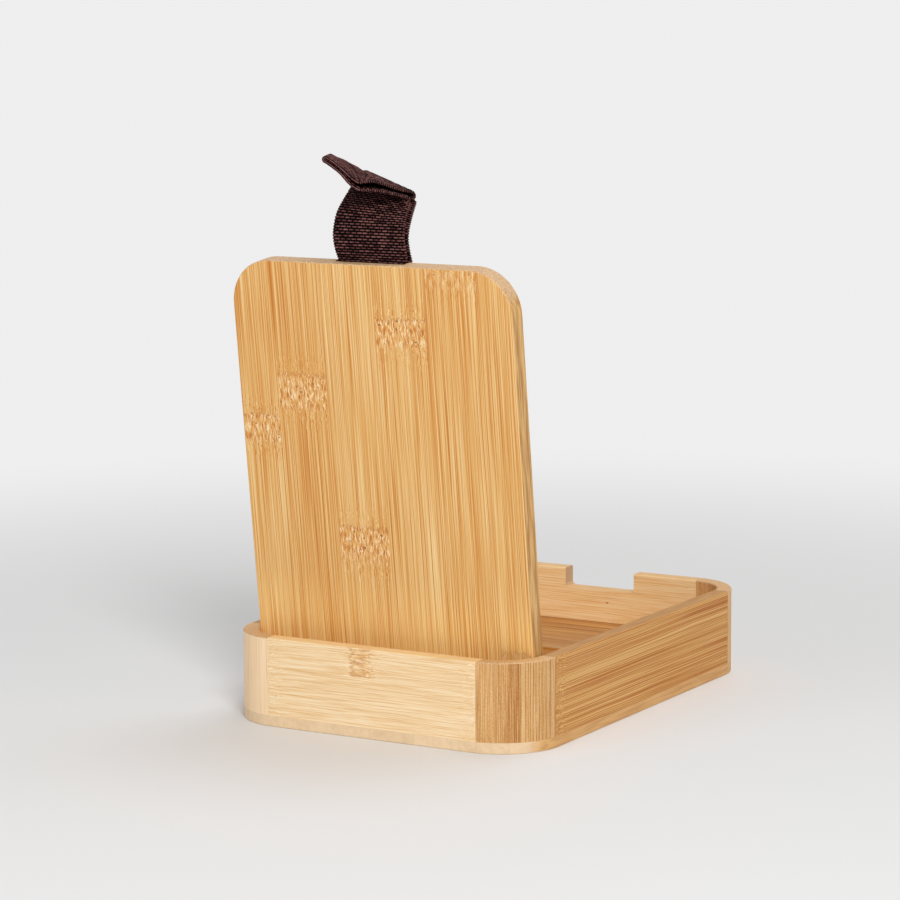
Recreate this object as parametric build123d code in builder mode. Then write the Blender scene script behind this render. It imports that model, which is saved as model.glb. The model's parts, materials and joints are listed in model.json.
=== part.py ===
from math import cos, radians, sin, sqrt, tan
import os

from build123d import *

# A bamboo box with a lift-off lid, shown open: the lid stands in the slot behind the inner floor
# and leans back on the two rear corners. The front is towards -Y and the rear towards +Y. The
# origin is the middle of the underside, and lengths are in millimetres.

# Box
box_width = 120.0
box_depth = 169.0
box_height = 30.5
corner_radius = 21.5
inner_radius = 14.5
wall_thickness = 5.8
base_thickness = 3.8
floor_thickness = 7.4
rim_easing = 0.6
base_easing = 0.4

# Length of each corner block along both walls that it joins
corner_block_size = 19.5

# Finger notch in the front wall, as deep as the lid is thick with a little to spare
notch_width = 28.6
notch_offset = -0.5
notch_fillet = 1.5
notch_spare = 0.2

# Lid
lid_thickness = 7.0
lid_side_gap = 0.7
lid_end_gap = 0.9
lid_corner_spare = 1.5
lid_easing = 0.5
lid_lean = 6.85
lid_seat_spare = 0.1

# Running clearances between the standing lid and the box
lean_gap = 0.25
foot_gap = 0.1
stop_gap = 0.3

# Cross divider and the two rails that carry the closed lid
divider_thickness = 3.0
divider_from_front_wall = 98.0
rail_width = 4.0
rail_front_gap = 18.0
glue_gap = 0.1

# Webbing loop at the free edge of the lid, and the tacks that hold its ends
strap_width = 25.0
strap_thickness = 1.0
strap_offset = 1.0
strap_layer_gap = 0.2
recess_depth = 3.8
recess_margin = 1.0
recess_length = 19.0
tail_end = 17.5
tail_bend = 6.0
near_tail_gap = 0.3
tack_up = 11.5
tack_spacing = 13.0
tack_head_radius = 2.5
tack_head_height = 0.9
tack_head_easing = 0.6
tack_shank_radius = 0.8
tack_shank_length = 4.5
tack_hole_gap = 0.05
tack_strap_gap = 0.2

# Sizes that follow
inner_width = box_width - 2 * wall_thickness
inner_depth = box_depth - 2 * wall_thickness
wall_height = box_height - base_thickness
floor_top = base_thickness + floor_thickness
seat_height = box_height - lid_thickness - lid_seat_spare
support_height = seat_height - floor_top
front_inner_y = -box_depth / 2 + wall_thickness
side_inner_x = inner_width / 2

lid_width = inner_width - 2 * lid_side_gap
lid_length = inner_depth - 2 * lid_end_gap
lid_corner_radius = inner_radius - lid_side_gap + lid_corner_spare

# The lid's eased side edges lean on the curved rear corners at the height of the rim. Seen from
# above, an edge of radius lid_easing touches a hollow corner of radius inner_radius.
corner_centre_x = inner_width / 2 - inner_radius
corner_centre_y = inner_depth / 2 - inner_radius
edge_centre_x = lid_width / 2 - lid_easing - corner_centre_x
edge_reach = sqrt((inner_radius - lid_easing) ** 2 - edge_centre_x**2)
touch_y = corner_centre_y + edge_reach + lid_easing - lean_gap
foot_z = base_thickness + foot_gap
foot_y = touch_y - (box_height - foot_z) * tan(radians(lid_lean))

# Plane of the lid's outer face: X across, Y up the lid from its foot, Z through its thickness
# towards the front of the box
lean_sin = sin(radians(lid_lean))
lean_cos = cos(radians(lid_lean))
lid_plane = Plane(
    origin=(0, foot_y, foot_z), x_dir=(1, 0, 0), z_dir=(0, -lean_cos, lean_sin)
)
floor_rear_y = foot_y - lid_thickness * lean_cos - stop_gap
rail_front_y = front_inner_y + rail_front_gap
divider_front_y = front_inner_y + divider_from_front_wall
divider_rear_y = divider_front_y + divider_thickness

os.makedirs("parts", exist_ok=True)


def save(part, name):
    part.label = name
    export_step(part, f"parts/{name}.step")


# Base panel under the walls
with BuildPart() as base_panel:
    with BuildSketch(Plane.XY):
        RectangleRounded(box_width, box_depth, corner_radius)
    extrude(amount=base_thickness)
    fillet(base_panel.faces().sort_by(Axis.Z)[0].edges(), base_easing)
save(base_panel.part, "base_panel")

# Inner floor board: it fills the box up to the slot that the lid stands in
with BuildPart() as inner_floor_panel:
    with BuildSketch(Plane.XY.offset(base_thickness)):
        RectangleRounded(
            inner_width - 2 * glue_gap, inner_depth - 2 * glue_gap, inner_radius - glue_gap
        )
        with Locations((0, floor_rear_y)):
            Rectangle(
                inner_width, inner_depth, align=(Align.CENTER, Align.MIN), mode=Mode.SUBTRACT
            )
    extrude(amount=floor_thickness)
save(inner_floor_panel.part, "inner_floor_panel")

# The whole ring of the walls, from which the four walls and four corner blocks are cut
with BuildPart() as wall_ring:
    with BuildSketch(Plane.XY.offset(base_thickness)):
        RectangleRounded(box_width, box_depth, corner_radius)
        RectangleRounded(inner_width, inner_depth, inner_radius, mode=Mode.SUBTRACT)
    extrude(amount=wall_height)
    fillet(wall_ring.faces().sort_by(Axis.Z)[-1].edges(), rim_easing)

seam_x = box_width / 2 - corner_block_size
seam_y = box_depth / 2 - corner_block_size

# Front wall with the finger notch, and the plain rear wall
notch_bottom = box_height - lid_thickness - notch_spare
with BuildPart() as front_wall:
    add(wall_ring.part)
    with BuildSketch(Plane.XY):
        Rectangle(2 * seam_x, box_depth, align=(Align.CENTER, Align.MAX))
    extrude(amount=box_height, mode=Mode.INTERSECT)
    with BuildSketch(Plane.XZ.offset(-front_inner_y)):
        with Locations((notch_offset, notch_bottom)):
            Rectangle(notch_width, box_height, align=(Align.CENTER, Align.MIN))
    extrude(amount=wall_thickness, mode=Mode.SUBTRACT)
    notch_corners = (
        front_wall.edges()
        .filter_by(Axis.Y)
        .filter_by_position(Axis.Z, notch_bottom - rim_easing, notch_bottom + rim_easing)
    )
    fillet(notch_corners, notch_fillet)
save(front_wall.part, "front_wall")

with BuildPart() as rear_wall:
    add(wall_ring.part)
    with BuildSketch(Plane.XY):
        Rectangle(2 * seam_x, box_depth, align=(Align.CENTER, Align.MIN))
    extrude(amount=box_height, mode=Mode.INTERSECT)
save(rear_wall.part, "rear_wall")

# Side walls, left and right as seen from the front
for side, align in (("left", Align.MAX), ("right", Align.MIN)):
    with BuildPart() as side_wall:
        add(wall_ring.part)
        with BuildSketch(Plane.XY):
            Rectangle(box_width, 2 * seam_y, align=(align, Align.CENTER))
        extrude(amount=box_height, mode=Mode.INTERSECT)
    save(side_wall.part, f"{side}_wall")

# Four rounded corner blocks
for end, y_sign in (("front", -1), ("rear", 1)):
    for side, x_sign in (("left", -1), ("right", 1)):
        block_centre = (
            x_sign * (seam_x + corner_block_size / 2),
            y_sign * (seam_y + corner_block_size / 2),
        )
        with BuildPart() as corner_block:
            add(wall_ring.part)
            with BuildSketch(Plane.XY):
                with Locations(block_centre):
                    Rectangle(corner_block_size, corner_block_size)
            extrude(amount=box_height, mode=Mode.INTERSECT)
        save(corner_block.part, f"{end}_{side}_corner_block")

# Rails along the side walls, cut short of the rounded front corners and of the lid slot
for side, x_sign in (("left", -1), ("right", 1)):
    rail_centre_x = x_sign * (side_inner_x - glue_gap - rail_width / 2)
    with BuildPart() as lid_rail:
        with BuildSketch(Plane.XY.offset(floor_top)):
            with Locations((rail_centre_x, rail_front_y)):
                Rectangle(
                    rail_width, floor_rear_y - rail_front_y, align=(Align.CENTER, Align.MIN)
                )
        extrude(amount=support_height)
    save(lid_rail.part, f"{side}_lid_rail")

# Cross divider, fitted between the rails and as high as they are
divider_length = inner_width - 2 * (glue_gap + rail_width + glue_gap)
with BuildPart() as cross_divider:
    with BuildSketch(Plane.XY.offset(floor_top)):
        with Locations((0, divider_front_y)):
            Rectangle(divider_length, divider_thickness, align=(Align.CENTER, Align.MIN))
    extrude(amount=support_height)
save(cross_divider.part, "cross_divider")

# Lid panel, standing, with the strap's recess in its inner face at the free edge and two blind
# holes for the tacks
recess_floor = lid_thickness - recess_depth
strap_plane = lid_plane.offset(recess_floor)
near_tail_out = recess_floor + near_tail_gap + strap_thickness / 2
far_tail_out = near_tail_out + strap_thickness + strap_layer_gap
tack_seat_out = far_tail_out + strap_thickness / 2
tack_points = [
    (strap_offset + share * tack_spacing, lid_length - tack_up) for share in (-0.5, 0.5)
]
with BuildPart() as lid_panel:
    with BuildSketch(lid_plane):
        with Locations((0, lid_length / 2)):
            RectangleRounded(lid_width, lid_length, lid_corner_radius)
    extrude(amount=lid_thickness)
    fillet(lid_panel.faces().filter_by(lid_plane).edges(), lid_easing)
    with BuildSketch(strap_plane):
        with Locations((strap_offset, lid_length)):
            Rectangle(
                strap_width + 2 * recess_margin,
                2 * recess_length,
            )
    extrude(amount=recess_depth, mode=Mode.SUBTRACT)
    with BuildSketch(lid_plane.offset(tack_seat_out)):
        with Locations(*tack_points):
            Circle(tack_shank_radius + tack_hole_gap)
    extrude(amount=-tack_shank_length - tack_hole_gap, mode=Mode.SUBTRACT)
save(lid_panel.part, "lid_panel")

# Where the webbing runs above the lid: the places of its two edges, in millimetres across the
# lid from the strap's middle, up from the free edge, and out from the lid's outer face. Both
# layers rise and lean back, fold over on a slant, and run out together to the loop's end.
near_rise = [
    ((-13.0, 0.0, 6.0), (12.5, 0.0, 4.5)),
    ((-13.0, 4.0, 6.0), (12.5, 4.0, 3.0)),
    ((-12.5, 8.0, 6.2), (12.7, 8.5, 2.5)),
    ((-12.5, 12.0, 7.2), (13.0, 12.5, 4.3)),
    ((-12.4, 15.2, 9.2), (13.4, 16.0, 7.4)),
    ((-12.3, 17.0, 11.2), (14.3, 19.8, 14.8)),
    ((-12.1, 18.3, 12.4), (15.6, 21.9, 21.5)),
]
near_fold = ((-11.6, 19.3, 13.0), (16.7, 23.4, 27.5))
near_run = [
    ((-8.5, 21.4, 10.2), (14.8, 24.3, 25.0)),
    ((-5.5, 22.8, 7.6), (14.0, 25.0, 24.0)),
    ((-2.5, 23.8, 4.5), (14.0, 25.6, 23.5)),
    ((0.5, 24.3, 2.0), (14.5, 26.3, 23.0)),
    ((3.0, 26.4, 0.5), (16.0, 27.3, 22.0)),
    ((5.5, 30.2, -1.0), (18.0, 29.0, 21.5)),
    ((8.0, 32.7, -2.0), (20.0, 30.1, 20.5)),
    ((9.9, 34.4, -3.0), (21.5, 31.2, 19.5)),
]
far_rise = [
    ((-12.5, -1.5, 10.0), (13.0, -1.0, 8.5)),
    ((-12.5, 3.0, 9.3), (13.0, 3.5, 7.0)),
    ((-12.5, 7.0, 8.8), (13.0, 7.5, 6.3)),
    ((-12.5, 10.5, 9.9), (13.0, 11.5, 8.0)),
    ((-12.2, 14.0, 12.7), (13.2, 15.0, 11.8)),
    ((-11.9, 16.6, 15.2), (13.9, 19.4, 19.5)),
    ((-11.6, 18.0, 16.6), (15.2, 22.0, 27.0)),
]
far_fold = ((-10.9, 19.9, 17.6), (17.3, 23.4, 33.5))
far_run = [
    ((-7.0, 22.7, 13.2), (16.2, 25.3, 28.0)),
    ((-4.5, 24.7, 9.8), (15.7, 26.2, 26.0)),
    ((-2.0, 26.3, 6.6), (15.3, 26.9, 24.8)),
    ((0.0, 26.5, 4.2), (15.2, 27.4, 24.0)),
    ((1.2, 26.6, 2.6), (15.6, 27.9, 23.5)),
    ((3.0, 28.4, 1.0), (16.5, 28.7, 22.5)),
    ((5.5, 31.6, -0.5), (18.5, 29.9, 21.7)),
    ((8.0, 34.0, -1.5), (20.5, 31.1, 20.5)),
    ((9.9, 35.6, -2.5), (22.0, 32.2, 19.5)),
]
near_fold_radius = 0.8
far_fold_radius = 1.3
fold_sections = 5
bight_sections = 5


def strap_point(place):
    across, up, out = place
    return lid_plane.from_local_coords(Vector(strap_offset + across, lid_length + up, out))


def edge_points(places):
    return [(strap_point(right), strap_point(left)) for right, left in places]


def tail_edges(out):
    """The flat end of one layer in the recess."""
    half = strap_width / 2
    return edge_points([((-half, -up, out), (half, -up, out)) for up in (tail_end, tail_bend)])


def middle(edges):
    return (edges[0] + edges[1]) / 2


def square_to(line, vector):
    """The part of a vector that is square to a unit line, at unit length."""
    return (vector - line * vector.dot(line)).normalized()


def fold_edges(before, crease, after, radius):
    """Rounds the webbing over a crease: an arc about a line beside the crease and along it."""
    line = (crease[1] - crease[0]).normalized()
    towards = square_to(line, middle(crease) - middle(before))
    away = square_to(line, middle(after) - middle(crease))
    outward = (towards - away).normalized()
    forward = (towards + away).normalized()
    half_turn = radians(towards.get_angle(away)) / 2
    edges = []
    for step in range(fold_sections):
        turn = half_turn * (2 * step / (fold_sections - 1) - 1)
        shift = outward * (radius * cos(turn) - radius) + forward * (radius * sin(turn))
        edges.append((crease[0] + shift, crease[1] + shift))
    return edges


def layer_edges(tail_out, rise, fold, run, radius):
    """One layer of the webbing, from its end in the recess to the loop's end."""
    rising = edge_points(rise)
    running = edge_points(run)
    crease = edge_points([fold])[0]
    folding = fold_edges(rising[-1], crease, running[0], radius)
    return tail_edges(tail_out) + rising + folding + running


def bight_edges(near, far):
    """The webbing turns back on itself at the loop's end, in a half circle between the layers."""
    edges = []
    for step in range(1, bight_sections + 1):
        turn = radians(180 * step / (bight_sections + 1))
        ends = []
        for side in (0, 1):
            centre = (near[-1][side] + far[-1][side]) / 2
            back = near[-1][side] - centre
            forward = square_to(back.normalized(), near[-1][side] - near[-2][side])
            ends.append(centre + back * cos(turn) + forward * (back.length * sin(turn)))
        edges.append(tuple(ends))
    return edges


near_edges = layer_edges(near_tail_out, near_rise, near_fold, near_run, near_fold_radius)
far_edges = layer_edges(far_tail_out, far_rise, far_fold, far_run, far_fold_radius)
strap_edges = near_edges + bight_edges(near_edges, far_edges) + far_edges[::-1]


def span_face(place):
    """The direction that the webbing faces between one pair of edge points and the next."""
    (right_a, left_a), (right_b, left_b) = strap_edges[place], strap_edges[place + 1]
    step = right_b + left_b - right_a - left_a
    return (left_a + left_b - right_a - right_b).cross(step).normalized()


def strap_section(place):
    right, left = strap_edges[place]
    face = span_face(max(place - 1, 0)) + span_face(min(place, len(strap_edges) - 2))
    across = (left - right).normalized()
    return Plane(middle((right, left)), x_dir=across, z_dir=square_to(across, face).cross(across))


with BuildPart() as pull_strap:
    for place, edges in enumerate(strap_edges):
        with BuildSketch(strap_section(place)):
            Rectangle((edges[1] - edges[0]).length, strap_thickness)
    loft(ruled=True)
    with BuildSketch(lid_plane.offset(tack_seat_out + strap_thickness)):
        with Locations(*tack_points):
            Circle(tack_shank_radius + tack_strap_gap)
    extrude(amount=-lid_thickness, mode=Mode.SUBTRACT)
save(pull_strap.part, "pull_strap")

# Two tacks through both ends of the webbing into the lid
with BuildPart() as strap_tacks:
    with BuildSketch(lid_plane.offset(tack_seat_out)):
        with Locations(*tack_points):
            Circle(tack_head_radius)
    extrude(amount=tack_head_height)
    outward = Axis(lid_plane.origin, lid_plane.z_dir)
    head_tops = strap_tacks.faces().filter_by(lid_plane).sort_by(outward)[-len(tack_points) :]
    fillet(head_tops.edges(), tack_head_easing)
    with BuildSketch(lid_plane.offset(tack_seat_out)):
        with Locations(*tack_points):
            Circle(tack_shank_radius)
    extrude(amount=-tack_shank_length)
save(strap_tacks.part, "strap_tacks")
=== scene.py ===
import json
import math

import bpy
from mathutils import Matrix, Vector
from mathutils.kdtree import KDTree


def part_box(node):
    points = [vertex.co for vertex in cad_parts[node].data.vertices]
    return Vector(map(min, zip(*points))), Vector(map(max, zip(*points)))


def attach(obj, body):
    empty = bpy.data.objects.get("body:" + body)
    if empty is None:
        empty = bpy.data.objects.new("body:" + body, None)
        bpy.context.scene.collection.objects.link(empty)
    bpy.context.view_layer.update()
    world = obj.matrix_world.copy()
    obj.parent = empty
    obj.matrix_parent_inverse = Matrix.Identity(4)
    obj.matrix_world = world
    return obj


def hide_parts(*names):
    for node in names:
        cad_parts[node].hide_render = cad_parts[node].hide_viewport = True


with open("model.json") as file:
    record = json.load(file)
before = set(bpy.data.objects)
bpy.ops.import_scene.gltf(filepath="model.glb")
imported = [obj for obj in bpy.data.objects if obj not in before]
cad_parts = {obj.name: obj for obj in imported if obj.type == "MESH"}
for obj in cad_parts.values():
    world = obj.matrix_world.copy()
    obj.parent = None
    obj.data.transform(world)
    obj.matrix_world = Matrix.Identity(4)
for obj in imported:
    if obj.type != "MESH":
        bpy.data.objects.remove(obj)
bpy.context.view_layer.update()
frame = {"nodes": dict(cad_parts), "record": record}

MM = 0.001

# Directions of the box: X across, Y from front to rear, Z up
ALONG_X = Vector((1, 0, 0))
ALONG_Y = Vector((0, 1, 0))
ALONG_Z = Vector((0, 0, 1))

# The standing lid, found from its node's box and from the way it lifts
LID_THICKNESS = 7.0 * MM
LID_EASING = 0.5 * MM
lid_up = Vector(frame["record"]["behaviour"]["joints"][0]["axis"]).normalized()
lid_inward = Vector((0, -lid_up.z, lid_up.y))
lid_low, lid_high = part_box("lid_panel")
lid_tall = lid_high.z - lid_low.z - 2 * LID_EASING
lid_length = (lid_tall - (LID_THICKNESS - 2 * LID_EASING) * lid_up.y) / lid_up.z + 2 * LID_EASING
lid_foot = Vector(
    (
        0,
        lid_high.y - (lid_length - LID_EASING) * lid_up.y - LID_EASING * (1 - lid_up.z),
        lid_low.z + LID_EASING * (1 - lid_up.y - lid_up.z),
    )
)


def lid_point(across, up, inward):
    """A place on the lid: across it, up from its foot and in from its outer face."""
    return lid_foot + ALONG_X * across + lid_up * up + lid_inward * inward


class Nodes:
    """A node tree and short calls for its nodes."""

    def __init__(self, tree):
        self.tree = tree

    def put(self, socket, value):
        """Links another socket to a socket, or sets the socket's value."""
        if isinstance(value, bpy.types.NodeSocket):
            self.tree.links.new(value, socket)
        else:
            socket.default_value = value

    def add(self, kind, inputs, **settings):
        node = self.tree.nodes.new(kind)
        for setting, value in settings.items():
            setattr(node, setting, value)
        for socket, value in inputs.items():
            self.put(node.inputs[socket], value)
        return node

    def math(self, operation, first, second=0.0, third=0.0):
        node = self.add("ShaderNodeMath", {0: first, 1: second, 2: third}, operation=operation)
        return node.outputs[0]

    def times(self, first, second):
        return self.math("MULTIPLY", first, second)

    def plus(self, start, value, weight):
        """The start and a value that is added with a weight."""
        return self.math("MULTIPLY_ADD", value, weight, start)

    def wave(self, count):
        """0 at each whole count and 1 halfway between them."""
        return self.math("ABSOLUTE", self.math("SINE", self.times(count, math.pi)))

    def bricks(self, rib_count, dash_count):
        """Dashes on ribs, set off by half a dash on every second rib: the wave of the ribs, the
        count of the dashes and their wave."""
        odd = self.math("MODULO", self.math("FLOOR", rib_count), 2.0)
        dash_count = self.plus(dash_count, odd, 0.5)
        return self.wave(rib_count), dash_count, self.wave(dash_count)


class Finish(Nodes):
    """A material. Places and grains are in millimetres."""

    def __init__(self, name):
        self.material = bpy.data.materials.new(name)
        self.material.use_nodes = True
        super().__init__(self.material.node_tree)
        self.surface = self.tree.nodes["Principled BSDF"]

    def coat(self, inputs):
        """Sets inputs of the surface, given by their names."""
        for name, value in inputs.items():
            self.put(self.surface.inputs[name], value)

    def vector(self, operation, first, second):
        return self.add("ShaderNodeVectorMath", {0: first, 1: second}, operation=operation)

    def join(self, x, y, z):
        return self.add("ShaderNodeCombineXYZ", {"X": x, "Y": y, "Z": z}).outputs[0]

    def length(self, x, y):
        """How far from the origin x and y are together."""
        return self.vector("LENGTH", self.join(x, y, 0.0), Vector()).outputs["Value"]

    def centred(self, value):
        return self.math("SUBTRACT", value, 0.5)

    def away(self, value, place):
        """How far a value is from a place, either way."""
        return self.math("ABSOLUTE", self.math("SUBTRACT", value, place))

    def step(self, value, low, high):
        """0 up to low and 1 from high, smooth between them. Low may be above high."""
        inputs = {"Value": value, "From Min": low, "From Max": high}
        node = self.add("ShaderNodeMapRange", inputs, interpolation_type="SMOOTHSTEP")
        return node.outputs["Result"]

    def mix(self, share, first, second, blend="MIX"):
        inputs = {0: share, 6: first, 7: second}
        node = self.add("ShaderNodeMix", inputs, data_type="RGBA", blend_type=blend)
        return node.outputs[2]

    def ramp(self, value, stops, tones):
        """The tone that belongs to a value, with a tone at each stop."""
        node = self.add("ShaderNodeValToRGB", {"Fac": value})
        elements = node.color_ramp.elements
        while len(elements) < len(stops):
            elements.new(0.5)
        for element, stop, tone in zip(elements, stops, tones):
            element.position = stop
            element.color = tone
        return node.outputs["Color"]

    def chance(self, inputs, dimensions):
        """A random value from 0 to 1 for each input."""
        node = self.add("ShaderNodeTexWhiteNoise", inputs, noise_dimensions=dimensions)
        return node.outputs["Value"]

    def noise(self, places, grain, detail=2.0, roughness=0.5):
        """Noise whose grain has the given size along each axis."""
        inputs = {
            "Vector": self.vector("DIVIDE", places, Vector(grain)).outputs[0],
            "Scale": 1.0,
            "Detail": detail,
            "Roughness": roughness,
            "Distortion": 0.0,
        }
        return self.add("ShaderNodeTexNoise", inputs).outputs["Fac"]

    def streaks(self, places, width, length, detail=1.0, roughness=0.5):
        """Noise of streaks that lie along the third axis."""
        return self.noise(places, (width, width, length), detail, roughness)

    def dots(self, places, cell, radius, share):
        """Round dots, one in some of the cells of a loose grid, with soft edges."""
        scaled = self.vector("DIVIDE", places, Vector(cell)).outputs[0]
        cells = self.add("ShaderNodeTexVoronoi", {"Vector": scaled, "Scale": 1.0})
        chance = self.add("ShaderNodeSeparateColor", {0: cells.outputs["Color"]}).outputs[0]
        chosen = self.step(chance, share + CHOICE_BLUR, share - CHOICE_BLUR)
        start, end = DOT_EDGE
        return self.times(self.step(cells.outputs["Distance"], radius * start, radius * end), chosen)

    def places(self, origin=Vector(), turn=Matrix.Identity(3)):
        """Places on the piece in millimetres, from an origin and along the columns of a turn."""
        inputs = {
            "Vector": self.add("ShaderNodeTexCoord", {}).outputs["Object"],
            "Location": origin,
            "Rotation": turn.to_euler(),
            "Scale": Vector((MM, MM, MM)),
        }
        mapped = self.add("ShaderNodeMapping", inputs, vector_type="TEXTURE").outputs[0]
        return self.add("ShaderNodeSeparateXYZ", {0: mapped}).outputs

    def facing(self, direction):
        """How squarely the surface faces along a direction or against it, from 0 to 1."""
        normal = self.add("ShaderNodeTexCoord", {}).outputs["Normal"]
        return self.math("ABSOLUTE", self.vector("DOT_PRODUCT", normal, direction).outputs["Value"])

    def attribute(self, name):
        return self.add("ShaderNodeAttribute", {}, attribute_name=name).outputs["Fac"]

    def bump(self, height, distance, strength):
        inputs = {"Height": height, "Distance": distance, "Strength": strength}
        self.coat({"Normal": self.add("ShaderNodeBump", inputs).outputs[0]})


def colour(red, green, blue):
    """A colour from its 0 to 255 screen values."""
    linear = [((v / 255 + 0.055) / 1.055) ** 2.4 for v in (red, green, blue)]
    return (*linear, 1.0)


def colours(*screen_values):
    return tuple(colour(*values) for values in screen_values)


# Dots: how softly cells are chosen, and where an edge starts and ends as shares of the radius
CHOICE_BLUR = 0.02
DOT_EDGE = (1.3, 0.6)

# Tones of the bamboo, from the deepest streaks to the palest, and their places in its range
STREAK_PLACES = (0.22, 0.42, 0.58, 0.82)
LID_TONES = colours((194, 120, 46), (213, 151, 76), (224, 176, 106), (239, 207, 150))
PALE_TONES = colours((224, 178, 120), (236, 200, 148), (243, 214, 170), (251, 230, 196))
# Front wall: paler tones, partly painted light that makes up for the lid's shade on its inner face
FRONT_TONES_WITH_PAINTED_LIGHT = colours((230, 180, 114), (246, 205, 144), (252, 220, 166), (255, 234, 190))
INNER_TONES = colours((208, 150, 86), (224, 178, 118), (234, 194, 138), (242, 210, 160))
SIDE_TONES = colours((182, 108, 42), (202, 140, 70), (213, 159, 88), (227, 182, 114))
BLOCK_TONES = colours((168, 110, 54), (200, 147, 86), (216, 169, 110), (230, 194, 142))
FRONT_BLOCK_TONES = colours((190, 134, 76), (218, 168, 108), (232, 188, 132), (244, 210, 162))
PALE_BLOCK_TONES = colours((231, 187, 134), (243, 208, 162), (249, 221, 183), (254, 235, 206))
BASE_TONES = colours((214, 184, 145), (226, 197, 158), (234, 206, 169), (242, 216, 182))
FLOOR_TONES = colours((132, 76, 32), (168, 110, 52), (192, 134, 70), (210, 158, 94))

# Pairs of tones for rims, sawn ends and flanks
# Rims of the side walls, rails and divider: partly the tops' own duller tone, partly painted shade on
# faces that look up
RIM_TONES_WITH_PAINTED_SHADE = colours((164, 114, 58), (190, 142, 78))
# Painted light: the rear wall's rim is painted paler, to make up for the lid's shade on it
PALE_RIM_TONES_WITH_PAINTED_LIGHT = colours((252, 206, 136), (255, 228, 174))
FRONT_RIM_TONES = colours((206, 154, 98), (226, 180, 124))
BLOCK_RIM_TONES = colours((206, 154, 94), (232, 186, 126))
END_TONES = colours((184, 142, 102), (224, 190, 148))
# Painted shade: the lid's flanks are painted darker, as they face away from the light; their patches
# are their own tone
LID_FLANK_TONES_WITH_PAINTED_SHADE = colours((182, 130, 70), (226, 182, 118))
BASE_FLANK_TONES = colours((206, 154, 94), (222, 176, 116))

# Nodes of the cane: tones of their strokes and pits, and places of the strokes' tones
MARK_PLACES = (0.34, 0.45, 0.54, 0.64)
MARK_TONES = colours((178, 98, 32), (212, 144, 66), (230, 184, 118), (247, 222, 180))
DOT_TONE = colour(112, 58, 22)
KNOT_TONE = colour(176, 100, 50)

# Streaks of the bamboo: width and length in millimetres
CURLS = (0.8, 2.6)
FLAMES = (0.55, 40.0)
SWAYS = (8.0, 40.0)
MARK_CURLS = (1.1, 1.9)
MARK_STROKES = (0.38, 4.0)
FLANK_PATCHES = (0.9, 16.0)
END_PORES = (0.3, 0.3)
RIM_SCUFFS = (0.5, 12.0)

# Fibres: weights in the tone, and sizes as shares of the bamboo's own grain and run
MIDDLE_TONE = 0.52
FINE_WEIGHT = 1.55
FINE_ROUGHNESS = 0.65
MIDDLING_WEIGHT = 0.45
MIDDLING_WIDTH = 2.6
MIDDLING_LENGTH = 1.3
BROAD_WEIGHT = 0.3
BROAD_WIDTH_IN_MM = 4.5
BROAD_LENGTH = 1.6
THREAD_WIDTH = 0.8
THREAD_LENGTH = 1.4
BEAD_LENGTH_IN_MM = 0.7

# Steps, each from 0 at its first value to 1 at its second
DARK_THREADS = (0.60, 0.74)
PALE_THREADS = (0.40, 0.26)
RIDGE_GROOVES = (0.75, 0.15)
KNOT_EDGE = (1.2, 0.5)
# Painted light at the lid's foot: where its paler tone fades in, and where its warmer tint fades in
PAINTED_FOOT_LIGHT_FADE = (60.0, 10.0)
PAINTED_FOOT_WARMTH_FADE = (52.0, 26.0)
PATCH_EDGE = (0.35, 0.65)
PORE_EDGE = (0.42, 0.56)
SCUFF_EDGE = (0.38, 0.60)
FACES_FLANK = (0.75, 0.95)
FACES_END = (0.22, 0.55)
FACES_RIM = (0.6, 0.9)

# Strips: how far random and seeded shifts reach, and the seams' half width and core
STRIP_SHIFT = 900.0
SEED_SHIFT = 31.0
SEAM_EDGE = 0.28
SEAM_CORE = 0.05
BAND_BLUR = 0.2

# Curls in millimetres: how wide they swing, and how far in from a sawn end they start
CURL_SWING = 2.0
MARK_CURL_SWING = 1.7
END_REACH = 11.0

# Nodes of the cane in millimetres, and as shares of a node's half height
MARK_BLUR = 0.4
MARK_FOOT_BLUR = 1.6
FLAME_HEIGHT = 6.0
MARK_RIM = (0.8, 0.1)
HALO_FROM = 3.2
HALO_TO = 0.9
PIT_CELL = (1.7, 1.7, 2.2)
PIT_RADIUS = 0.17
PIT_CHANCE = 0.4

# How strongly each feature covers the wood below it
SEAM_SHARE = 0.35
KNOT_SHARE = 0.85
HALO_SHARE = 0.12
MARK_RIM_SHARE = 0.6
MARK_SHARE = 0.85
RIM_SHARE = 0.7
# Painted light: the tint that makes the lid's foot warmer
PAINTED_FOOT_WARMTH = (1.14, 1.12, 1.0, 1.0)

# Weights of each feature in the relief
FINE_RELIEF = 0.25
THREAD_RELIEF = 0.12
STROKE_RELIEF = 1.2
PIT_RELIEF = -0.5


def mark_shares(finish, over, along, flame, marks):
    """How much a place belongs to a node of the cane, to its ragged rim and to its halo."""
    node_share = 0.0
    rim_share = 0.0
    halo_share = 0.0
    for mark_over, mark_along, half_width, half_height, strength in marks:
        aside = finish.away(over, mark_over)
        within = finish.times(finish.step(aside, half_width, half_width - MARK_BLUR), strength)
        height = finish.math("SUBTRACT", along, mark_along)
        ragged = finish.plus(height, flame, -FLAME_HEIGHT)
        core = finish.times(
            finish.step(ragged, half_height + MARK_BLUR, half_height - MARK_BLUR),
            finish.step(ragged, -half_height - MARK_FOOT_BLUR, -half_height + MARK_FOOT_BLUR),
        )
        rim = finish.step(finish.away(ragged, half_height), *MARK_RIM)
        halo = finish.math("ABSOLUTE", height)
        halo = finish.step(halo, half_height * HALO_FROM, half_height * HALO_TO)
        node_share = finish.plus(node_share, within, core)
        rim_share = finish.plus(rim_share, within, rim)
        halo_share = finish.plus(halo_share, within, halo)
    return node_share, rim_share, halo_share


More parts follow.
